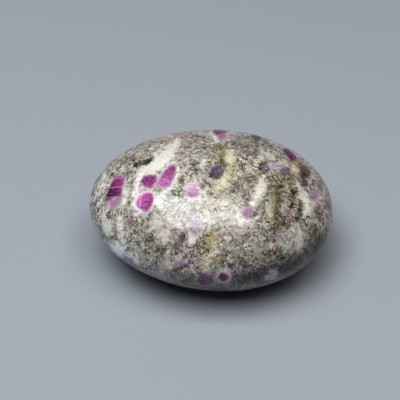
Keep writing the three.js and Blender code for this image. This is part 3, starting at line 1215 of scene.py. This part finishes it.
class Wiring:
    """Short names for the nodes that a material or a world is made of.

    A value that is fed to a node is a plain value or another node's output. The constants say which inputs
    of a mix node take its share, first and second value, and which output gives the mixed colour. A mix
    node's sockets have the same names for numbers and for colours.
    """

    NUMBER_SOCKETS = (0, 2, 3)
    COLOUR_SOCKETS = (0, 6, 7)
    MIXED_COLOUR = 2

    def __init__(self, owner: bpy.types.Material | bpy.types.World) -> None:
        """Empties the owner's tree and keeps it.

        Args:
            owner: the material or world to wire.
        """
        owner.use_nodes = True
        self.tree = owner.node_tree
        self.tree.nodes.clear()

    def node(self, kind: str, **settings: object) -> bpy.types.Node:
        """Adds a node.

        Args:
            kind: the node's type.
            settings: the node's properties by name.

        Returns:
            Node: the new node.
        """
        made = self.tree.nodes.new(kind)
        for name, value in settings.items():
            setattr(made, name, value)
        return made

    def feed(self, socket: bpy.types.NodeSocket, value: object) -> None:
        """Links a socket to an output, or sets it to a plain value.

        Args:
            socket: the input to feed.
            value: the output or plain value.
        """
        if isinstance(value, bpy.types.NodeSocket):
            self.tree.links.new(value, socket)
        else:
            socket.default_value = value

    def fed(self, node: bpy.types.Node, **values: object) -> bpy.types.Node:
        """Feeds a node's inputs by their names, in which an underscore stands for a space.

        Args:
            node: the node.
            values: what each input is fed.

        Returns:
            Node: the same node.
        """
        for name, value in values.items():
            self.feed(node.inputs[name.replace("_", " ")], value)
        return node

    def attribute(self, name: str, output: str = "Fac") -> bpy.types.NodeSocket:
        """Reads a field of the mesh."""
        return self.node("ShaderNodeAttribute", attribute_name=name).outputs[output]

    def math(self, operation: str, *values: object, clamp: bool = False) -> bpy.types.NodeSocket:
        """Joins numbers by an operation.

        Args:
            operation: the operation's name.
            values: the numbers.
            clamp: whether the result is held between 0 and 1.

        Returns:
            NodeSocket: the result.
        """
        made = self.node("ShaderNodeMath", operation=operation, use_clamp=clamp)
        for socket, value in zip(made.inputs, values):
            self.feed(socket, value)
        return made.outputs[0]

    def times(self, first: object, second: object, clamp: bool = False) -> bpy.types.NodeSocket:
        """Multiplies two numbers."""
        return self.math("MULTIPLY", first, second, clamp=clamp)

    def total(self, *values: object) -> bpy.types.NodeSocket:
        """Adds numbers up."""
        return reduce(lambda found, value: self.math("ADD", found, value), values)

    def centred(self, value: object, strength: float) -> bpy.types.NodeSocket:
        """Takes a half away from a number and multiplies the rest."""
        return self.math("MULTIPLY_ADD", value, strength, -0.5 * strength)

    def step(self, value: object, low: float, high: float) -> bpy.types.NodeSocket:
        """Gives 0 below low and 1 above high, with a smooth rise between."""
        made = self.node("ShaderNodeMapRange", interpolation_type="SMOOTHSTEP")
        return self.fed(made, Value=value, From_Min=low, From_Max=high).outputs["Result"]

    def blend(self, share: object, first: object, second: object) -> bpy.types.NodeSocket:
        """Mixes two numbers.

        Args:
            share: how much of the second there is.
            first: the first number.
            second: the second number.

        Returns:
            NodeSocket: the mixed number.
        """
        made = self.node("ShaderNodeMix", data_type="FLOAT")
        for socket, value in zip(self.NUMBER_SOCKETS, (share, first, second)):
            self.feed(made.inputs[socket], value)
        return made.outputs[0]

    def vector(self, operation: str, *values: object) -> bpy.types.NodeSocket:
        """Joins vectors by an operation.

        Args:
            operation: the operation's name.
            values: the vectors.

        Returns:
            NodeSocket: the result.
        """
        made = self.node("ShaderNodeVectorMath", operation=operation)
        for socket, value in zip(made.inputs, values):
            self.feed(socket, value)
        return made.outputs[0]

    def stretch(self, vector: object, scale: Colour, turn: Colour = (0.0, 0.0, 0.0)) -> bpy.types.NodeSocket:
        """Scales coordinates and turns them by angles in radians."""
        made = self.node("ShaderNodeMapping", vector_type="POINT")
        return self.fed(made, Vector=vector, Rotation=turn, Scale=scale).outputs[0]

    def noise(self, vector: object, scale: float, detail: float, rough: float = 0.5) -> bpy.types.NodeSocket:
        """Gives soft noise from 0 to 1, of so many features a millimetre."""
        made = self.node("ShaderNodeTexNoise", noise_dimensions="3D")
        return self.fed(made, Vector=vector, Scale=scale, Detail=detail, Roughness=rough).outputs["Fac"]

    def noises(self, vector: object, scale: float, detail: float) -> bpy.types.NodeSocket:
        """Gives soft noise of three parts."""
        made = self.node("ShaderNodeTexNoise", noise_dimensions="3D")
        return self.fed(made, Vector=vector, Scale=scale, Detail=detail, Roughness=0.5).outputs["Color"]

    def cells(self, vector: object, scale: float) -> bpy.types.bpy_prop_collection:
        """Gives a mosaic of cells, as three numbers that are left to chance in each cell.

        Args:
            vector: coordinates in millimetres.
            scale: how many cells there are in a millimetre.

        Returns:
            bpy_prop_collection: the three numbers.
        """
        made = self.node("ShaderNodeTexVoronoi", voronoi_dimensions="3D")
        colour = self.fed(made, Vector=vector, Scale=scale).outputs["Color"]
        return self.fed(self.node("ShaderNodeSeparateColor"), Color=colour).outputs

    def parts(self, vector: object) -> bpy.types.bpy_prop_collection:
        """Takes a vector apart into three numbers."""
        return self.fed(self.node("ShaderNodeSeparateXYZ"), Vector=vector).outputs

    def mix(self, share: object, first: object, second: object, blend: str = "MIX") -> bpy.types.NodeSocket:
        """Mixes two colours.

        Args:
            share: how much of the second there is.
            first: the first colour.
            second: the second colour.
            blend: how the second acts on the first.

        Returns:
            NodeSocket: the mixed colour.
        """
        made = self.node("ShaderNodeMix", data_type="RGBA", blend_type=blend)
        for socket, value in zip(self.COLOUR_SOCKETS, (share, first, second)):
            if isinstance(value, tuple):
                value = (*value, 1.0)
            self.feed(made.inputs[socket], value)
        return made.outputs[self.MIXED_COLOUR]

    def tint(self, first: object, second: object) -> bpy.types.NodeSocket:
        """Multiplies two colours."""
        return self.mix(1.0, first, second, "MULTIPLY")

    def ramp(self, value: object, stops: Stops) -> bpy.types.NodeSocket:
        """Maps a number to a colour through stops.

        Args:
            value: the number.
            stops: each stop's place and colour.

        Returns:
            NodeSocket: the colour.
        """
        made = self.node("ShaderNodeValToRGB")
        self.feed(made.inputs[0], value)
        elements = made.color_ramp.elements
        while len(elements) < len(stops):
            elements.new(0.5)
        for element, (place, colour) in zip(elements, stops):
            element.position = place
            element.color = (*colour, 1.0)
        return made.outputs[0]


@dataclass(frozen=True)
class PolishedRock:
    """The finish of the whole stone: grains and flecks of the rock, crystals, bands, stains, painted shade
    and gloss.

    A cover is how much of what lies below it a layer hides at most, from 0 to 1. The bump's height is in
    millimetres.
    """

    name: str = "polished_rock"
    grain_stops: Stops = (
        (0.00, (0.036, 0.031, 0.026)),
        (0.20, (0.113, 0.102, 0.089)),
        (0.42, (0.258, 0.240, 0.213)),
        (0.62, (0.390, 0.369, 0.335)),
        (0.82, (0.525, 0.506, 0.462)),
        (1.00, (0.720, 0.700, 0.640)),
    )
    hue_stops: Stops = (
        (0.34, (0.96, 1.03, 0.96)),
        (0.44, (1.00, 1.00, 0.98)),
        (0.55, (1.03, 0.99, 0.98)),
        (0.66, (1.08, 0.97, 1.02)),
    )
    grain_hues: Stops = (
        (0.05, (1.10, 0.96, 1.00)),
        (0.35, (1.02, 1.00, 0.98)),
        (0.65, (0.98, 1.00, 1.00)),
        (0.95, (0.92, 1.03, 0.93)),
    )
    mottle_stops: Stops = (
        (0.32, (0.50, 0.42, 0.50)),
        (0.50, (0.98, 0.95, 0.98)),
        (0.68, (1.42, 1.75, 1.42)),
    )
    fleck: Colour = (0.042, 0.036, 0.030)
    halo: Colour = (0.840, 0.790, 0.790)
    parting: Colour = (0.700, 0.400, 0.640)
    pit: Colour = (0.014, 0.011, 0.009)
    warm: Colour = (1.05, 0.94, 0.79)
    cool: Colour = (0.93, 0.99, 1.05)
    whiter: Colour = (1.08, 1.09, 1.11)
    greyer: Colour = (0.72, 0.69, 0.66)
    stain_and_shade_lift: Colour = (2.9, 2.9, 2.9)
    dark_grain_cover: float = 0.72
    dark_grit_cover: float = 0.86
    stain_and_shade_cover: float = 0.3
    pale_cover: float = 0.96
    crystal_cover: float = 0.97
    dark_cover: float = 0.97
    frost_cover: float = 0.42
    parting_cover: float = 0.7
    halo_cover: float = 0.75
    rim_cover: float = 0.45
    smoothest: float = 0.09
    roughest: float = 0.24
    crystal_roughness: float = 0.10
    bump_strength: float = 0.25
    bump_height: float = 0.04
    refraction: float = 1.50

    def rock(self, w: Wiring, place: bpy.types.NodeSocket) -> bpy.types.NodeSocket:
        """Makes the speckled rock: three mosaics of grains, cloudy patches, and dark flecks that gather.

        Args:
            w: the material's nodes.
            place: coordinates in millimetres.

        Returns:
            NodeSocket: the rock's colour.
        """
        flecks, warmth, light = w.parts(w.attribute("mood", "Vector"))
        layers = w.stretch(place, (1.7, 0.45, 0.45), (0.0, 0.12, 0.1))
        layered = w.attribute("layering")
        shift = w.vector("SUBTRACT", w.noises(place, 1.3, 3.0), (0.5, 0.5, 0.5))
        warped = w.vector("MULTIPLY_ADD", shift, (0.75, 0.75, 0.75), place)
        patch, _, _ = w.cells(warped, 1.25)
        grain, grain_kind, _ = w.cells(warped, 2.1)
        grit, grit_kind, grit_hue = w.cells(place, 4.4)
        cloud = w.centred(w.noise(place, 0.36, 5.0, 0.6), 1.1)
        streaky = w.centred(w.noise(layers, 1.1, 4.0, 0.65), 2.0)
        value = w.total(0.60, w.centred(patch, 0.28), w.centred(grain, 0.28), w.centred(grit, 0.22), cloud,
                        w.times(streaky, layered), light)
        hue = w.ramp(w.noise(place, 0.27, 4.0, 0.6), self.hue_stops)
        colour = w.tint(w.ramp(value, self.grain_stops), hue)
        colour = w.tint(colour, w.ramp(grit_hue, self.grain_hues))
        colour = w.mix(w.times(warmth, 1.0, clamp=True), colour, self.warm, "MULTIPLY")
        colour = w.mix(w.times(warmth, -1.0, clamp=True), colour, self.cool, "MULTIPLY")
        gather = w.centred(w.noise(warped, 0.8, 4.0, 0.65), 2.2)
        level = w.total(0.13, w.times(flecks, 0.13), gather, w.times(streaky, w.times(layered, -0.30)))
        for kind, cover in ((grain_kind, self.dark_grain_cover), (grit_kind, self.dark_grit_cover)):
            dark = w.step(w.math("SUBTRACT", level, kind), -0.04, 0.08)
            colour = w.mix(w.times(dark, cover), colour, self.fleck)
        return colour

    def stained_and_shaded(self, w: Wiring, rock: object, ragged: object) -> bpy.types.NodeSocket:
        """Tints the rock where it is stained and where shade is painted: partly through its grain and partly
        over it.

        Args:
            w: the material's nodes.
            rock: the rock's colour.
            ragged: soft noise around zero, for the stains' edges.

        Returns:
            NodeSocket: the stained rock's colour.
        """
        share = w.times(w.attribute("stain_and_shade_strength"), w.step(ragged, -0.30, 0.02))
        stain_and_shade = w.attribute("stain_and_shade_colour", "Color")
        through = w.tint(rock, w.tint(stain_and_shade, self.stain_and_shade_lift))
        return w.mix(w.times(share, self.stain_and_shade_cover), w.mix(share, rock, through), stain_and_shade)

    @staticmethod
    def shown(w: Wiring, cover: object, worn: object) -> bpy.types.NodeSocket:
        """Gives how much of a mark shows: all of it at full cover, and less in worn places below that."""
        return w.math("ADD", cover, w.times(worn, w.math("SUBTRACT", 1.0, cover)), clamp=True)

    def pale(self, w: Wiring, place: object) -> bpy.types.NodeSocket:
        """Makes the pale bands' colour: their own, cloudy with grey and with a whiter white.

        Args:
            w: the material's nodes.
            place: coordinates in millimetres.

        Returns:
            NodeSocket: the bands' colour.
        """
        own = w.attribute("pale_colour", "Color")
        clear = w.step(w.noise(place, 0.6, 3.0, 0.6), 0.40, 0.68)
        clouded = w.step(w.noise(place, 1.0, 4.0, 0.6), 0.48, 0.30)
        return w.mix(clouded, w.mix(clear, own, w.tint(own, self.whiter)), w.tint(own, self.greyer))

    def ruby(self, w: Wiring, place: object, depth: object, nibbled: object) -> bpy.types.NodeSocket:
        """Makes the crystals' colour: their own, streaked and mottled, with pale partings and a faint halo.

        Args:
            w: the material's nodes.
            place: coordinates in millimetres.
            depth: how far inside its crystal the point lies, with a ragged edge.
            nibbled: fine noise around zero.

        Returns:
            NodeSocket: the crystals' colour.
        """
        streaks = w.noise(w.stretch(w.attribute("crystal_place", "Vector"), (2.6, 0.5, 1.0)), 1.0, 4.0, 0.65)
        mottle = w.total(-0.5, streaks, w.noise(place, 1.3, 5.0, 0.75))
        colour = w.tint(w.attribute("crystal_colour", "Color"), w.ramp(mottle, self.mottle_stops))
        frost = w.step(w.noise(place, 1.7, 5.0, 0.75), 0.52, 0.74)
        colour = w.mix(w.times(frost, self.frost_cover), colour, self.parting)
        count = w.attribute("crystal_partings")
        line = w.math("ABSOLUTE", w.math("SUBTRACT", w.math("FRACT", count), 0.5))
        line = w.step(w.total(line, w.times(nibbled, 0.25)), 0.075, 0.0)
        line = w.times(line, w.math("GREATER_THAN", w.math("ABSOLUTE", count), 1e-5))
        colour = w.mix(w.times(line, self.parting_cover), colour, self.parting)
        rim = w.times(w.step(depth, 0.60, -0.05), w.attribute("crystal_halo"))
        return w.mix(w.times(rim, self.rim_cover), colour, self.halo)

    def shader(self) -> bpy.types.Material:
        """Wires the whole finish: the stained rock with its painted shade, and over it the pale bands, the
        crystals and the darks.

        Returns:
            Material: the finish.
        """
        material = bpy.data.materials.new(self.name)
        w = Wiring(material)
        metre = 1.0 / METRES
        place = w.vector("MULTIPLY", w.node("ShaderNodeTexCoord").outputs["Object"], (metre, metre, metre))
        ragged = w.centred(w.noise(place, 0.85, 4.0, 0.62), 1.0)
        nibbled = w.centred(w.noise(place, 2.6, 4.0, 0.7), 1.0)
        worn = w.centred(w.noise(place, 1.6, 5.0, 0.75), 5.0)
        colour = self.stained_and_shaded(w, self.rock(w, place), ragged)

        pale_edge = w.total(w.times(ragged, 3.4), w.times(nibbled, 1.6))
        pale_share = w.step(w.total(w.attribute("pale_depth"), pale_edge), -0.65, 0.75)
        pale_share = w.times(pale_share, self.shown(w, w.attribute("pale_cover"), worn))
        colour = w.mix(w.times(pale_share, self.pale_cover), colour, self.pale(w, place))

        crystal_edge = w.total(w.times(ragged, 1.2), w.times(nibbled, 1.5))
        crystal_depth = w.total(w.attribute("crystal_depth"), crystal_edge)
        halo = w.times(w.step(crystal_depth, -1.0, -0.05), w.attribute("crystal_halo"))
        colour = w.mix(w.times(halo, self.halo_cover), colour, self.halo)
        crystal_share = w.step(crystal_depth, -0.38, 0.28)
        crystal_share = w.times(crystal_share, self.shown(w, w.attribute("crystal_cover"), worn))
        ruby = self.ruby(w, place, crystal_depth, nibbled)
        colour = w.mix(w.times(crystal_share, self.crystal_cover), colour, ruby)

        dark_edge = w.total(w.times(nibbled, 3.0), w.times(ragged, 0.9))
        dark_share = w.step(w.total(w.attribute("dark_depth"), dark_edge), -0.14, 0.14)
        dark_share = w.times(dark_share, self.shown(w, w.attribute("dark_cover"), worn))
        colour = w.mix(w.times(dark_share, self.dark_cover), colour, self.pit)

        gloss = w.blend(w.step(w.noise(place, 1.4, 5.0, 0.7), 0.36, 0.66), self.smoothest, self.roughest)
        roughness = w.blend(crystal_share, gloss, self.crystal_roughness)
        relief = w.total(w.noise(place, 1.1, 3.0), w.centred(w.noise(place, 3.4, 2.0), 0.4))
        bump = w.fed(w.node("ShaderNodeBump"), Strength=self.bump_strength,
                     Distance=self.bump_height * METRES, Height=relief)
        surface = w.fed(w.node("ShaderNodeBsdfPrincipled"), Base_Color=colour, Roughness=roughness,
                        Normal=bump.outputs[0], IOR=self.refraction)
        w.fed(w.node("ShaderNodeOutputMaterial"), Surface=surface.outputs[0])
        return material


@dataclass
class PalmStone:
    """The stone itself: its fine surface, its markings and its finish.

    Its relief starts at the height flat_to above the floor and is full from relief_from up, in millimetres.
    """

    view: Viewpoint
    rings: int = 230
    columns: int = 416
    pit_depth: float = 0.10
    crystal_rise: float = 0.03
    flat_to: float = 0.1
    relief_from: float = 1.5
    markings: Markings = field(default_factory=Markings)
    finish: PolishedRock = field(default_factory=PolishedRock)

    def relief(self, fields: dict[str, Array]) -> Array:
        """Gives how high each point stands against the body: crystals level, rock a little lower, pits low.

        It changes smoothly over a mark's edge, from a little outside its outline to a little inside it.

        Args:
            fields: the markings' fields.

        Returns:
            Array: millimetres along the normal, 0 or below.
        """
        proud = self.crystal_rise * smooth_step(-0.3, 0.5, fields["crystal_depth"])
        sunk = self.pit_depth * smooth_step(-0.15, 0.3, fields["dark_depth"]) * fields["dark_cover"]
        return proud - self.crystal_rise - sunk

    def build(self) -> bpy.types.Object:
        """Makes the stone's object, with its fields, finish and place in the frame.

        Returns:
            Object: the stone.
        """
        skin = Skin(Pebble.from_frame(), self.view, self.rings, self.columns)
        fields = self.markings.fields(skin)
        above_flat = smooth_step(self.flat_to, self.relief_from, skin.points[:, 2])
        points = skin.points + (self.relief(fields) * above_flat)[:, None] * skin.normals
        mesh = bpy.data.meshes.new("polished_palm_stone")
        mesh.from_pydata((points * METRES).tolist(), [], skin.faces())
        mesh.polygons.foreach_set("use_smooth", np.ones(len(mesh.polygons), dtype=bool))
        self.write_fields(mesh, fields)
        mesh.update()
        stone = bpy.data.objects.new("polished_palm_stone", mesh)
        bpy.context.scene.collection.objects.link(stone)
        stone.data.materials.append(self.finish.shader())
        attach(stone, BODY)
        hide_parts(NODE)
        return stone

    @staticmethod
    def write_fields(mesh: bpy.types.Mesh, fields: dict[str, Array]) -> None:
        """Keeps each field as an attribute of the mesh's points: a number, or three as a colour or vector.

        Args:
            mesh: the stone's mesh.
            fields: fields by name.
        """
        for name, values in fields.items():
            if values.ndim == 1:
                kind, slot, data = "FLOAT", "value", values
            elif name.endswith("colour"):
                kind, slot = "FLOAT_COLOR", "color"
                data = np.concatenate([values, np.ones((len(values), 1))], axis=1)
            else:
                kind, slot, data = "FLOAT_VECTOR", "vector", values
            attribute = mesh.attributes.new(name, kind, "POINT")
            attribute.data.foreach_set(slot, np.ascontiguousarray(data, dtype=np.float32).ravel())


@dataclass(frozen=True)
class LightPanel:
    """A soft rectangular light that hangs level above the stone and shines straight down. Lengths are metres.

    Attributes:
        name: the light's name.
        aside: how far its middle is to the right of the stone's, as the camera looks.
        behind: how far its middle is beyond the stone's, as the camera looks.
        above: how high it hangs.
        width: its size from left to right.
        depth: its size from near to far.
        radiance: how bright it is.
        colour: the colour of its light.
    """

    name: str
    aside: float
    behind: float
    above: float
    width: float
    depth: float
    radiance: float
    colour: Colour = (1.0, 1.0, 1.0)

    def build(self, turn: float) -> bpy.types.Object:
        """Makes the light. Its power is its radiance times pi times its area.

        Args:
            turn: the camera's turn, in degrees, which the light's sides follow.

        Returns:
            Object: the light.
        """
        lamp = bpy.data.lights.new(self.name, "AREA")
        lamp.shape = "RECTANGLE"
        lamp.size = self.width
        lamp.size_y = self.depth
        lamp.energy = self.radiance * np.pi * self.width * self.depth
        lamp.color = self.colour
        placed = bpy.data.objects.new(self.name, lamp)
        placed.rotation_euler = (0.0, 0.0, np.radians(turn))
        offset = Vector((self.aside, self.behind, self.above))
        placed.location = Matrix.Rotation(np.radians(turn), 3, "Z") @ offset
        bpy.context.scene.collection.objects.link(placed)
        return placed


@dataclass(frozen=True)
class Studio:
    """The floor, the light and the camera.

    Its own lengths are metres. The air is a dim light from all round, of air_strength overhead and of
    horizon_strength at the horizon. The horizon's rise is the sine of the angle up to which it is brighter.
    The picture's gamma and exposure deepen the shadows and keep the lights as bright. The camera shows
    nothing nearer than nearest_seen.
    """

    view: Viewpoint
    floor_half: float = 0.9
    floor_colour: Colour = (0.33, 0.35, 0.39)
    floor_roughness: float = 0.9
    floor_specular: float = 0.1
    nearest_seen: float = 0.005
    air_colour: Colour = (0.80, 0.87, 1.0)
    air_strength: float = 0.006
    horizon_strength: float = 0.17
    horizon_rise: float = 0.32
    picture_gamma: float = 0.8
    picture_exposure: float = 0.345
    panels: tuple[LightPanel, ...] = (
        LightPanel("left_panel", -0.31, -0.283, 1.0, 0.54, 0.74, 7.7, (0.95, 0.98, 1.0)),
        LightPanel("right_panel", 0.245, -0.283, 1.0, 0.57, 0.74, 4.2, (1.0, 0.98, 0.94)),
        LightPanel("far_panel", 0.0, 1.4, 1.0, 2.4, 0.8, 0.55, (0.95, 0.97, 1.0)),
    )

    def floor(self) -> bpy.types.Object:
        """Makes the plain pale floor.

        Returns:
            Object: the floor.
        """
        half = self.floor_half
        mesh = bpy.data.meshes.new("floor")
        corners = [(-half, -half, 0), (half, -half, 0), (half, half, 0), (-half, half, 0)]
        mesh.from_pydata(corners, [], [(0, 1, 2, 3)])
        placed = bpy.data.objects.new("floor", mesh)
        bpy.context.scene.collection.objects.link(placed)
        material = bpy.data.materials.new("pale_floor")
        material.use_nodes = True
        surface = material.node_tree.nodes["Principled BSDF"]
        surface.inputs["Base Color"].default_value = (*self.floor_colour, 1.0)
        surface.inputs["Roughness"].default_value = self.floor_roughness
        surface.inputs["Specular IOR Level"].default_value = self.floor_specular
        mesh.materials.append(material)
        return placed

    def air(self) -> None:
        """Sets the dim light from all round, brighter near the horizon so that level views aren't dark."""
        world = bpy.data.worlds.new("pale_air")
        bpy.context.scene.world = world
        w = Wiring(world)
        _, _, upward = w.parts(w.node("ShaderNodeTexCoord").outputs["Generated"])
        level = w.step(w.math("ABSOLUTE", upward), self.horizon_rise, 0.0)
        strength = w.blend(level, self.air_strength, self.horizon_strength)
        background = w.fed(w.node("ShaderNodeBackground"), Color=(*self.air_colour, 1.0), Strength=strength)
        w.fed(w.node("ShaderNodeOutputWorld"), Surface=background.outputs[0])

    def camera(self, middle_height: float) -> bpy.types.Object:
        """Makes the camera at the viewpoint and gives it to the scene.

        Args:
            middle_height: how high the stone's middle is, in millimetres.

        Returns:
            Object: the camera.
        """
        view = self.view
        data = bpy.data.cameras.new("camera")
        data.sensor_width = view.sensor
        data.lens = view.focal * view.sensor / view.frame_size
        data.clip_start = self.nearest_seen
        placed = bpy.data.objects.new("camera", data)
        placed.location = view.eye(np.array([0.0, 0.0, middle_height])) * METRES
        turn, rise = np.radians([view.turn, view.rise])
        placed.rotation_euler = (np.pi / 2.0 - rise, 0.0, turn)
        bpy.context.scene.collection.objects.link(placed)
        bpy.context.scene.camera = placed
        return placed

    def build(self, middle_height: float) -> None:
        """Makes the floor, the light and the camera, and sets the picture's contrast.

        Args:
            middle_height: how high the stone's middle is, in millimetres.
        """
        self.floor()
        self.air()
        for panel in self.panels:
            panel.build(self.view.turn)
        self.camera(middle_height)
        picture = bpy.context.scene.view_settings
        picture.view_transform = "Standard"
        picture.gamma = self.picture_gamma
        picture.exposure = self.picture_exposure


def main() -> None:
    """Builds the stone and its studio, and logs the stone's face count."""
    logging.basicConfig(level=logging.INFO, format="%(name)s: %(message)s")
    view = Viewpoint()
    Studio(view).build(Pebble.from_frame().middle_height)
    stone = PalmStone(view).build()
    log.info("%s has %d faces", stone.name, len(stone.data.polygons))


if __name__ == "__main__":
    main()
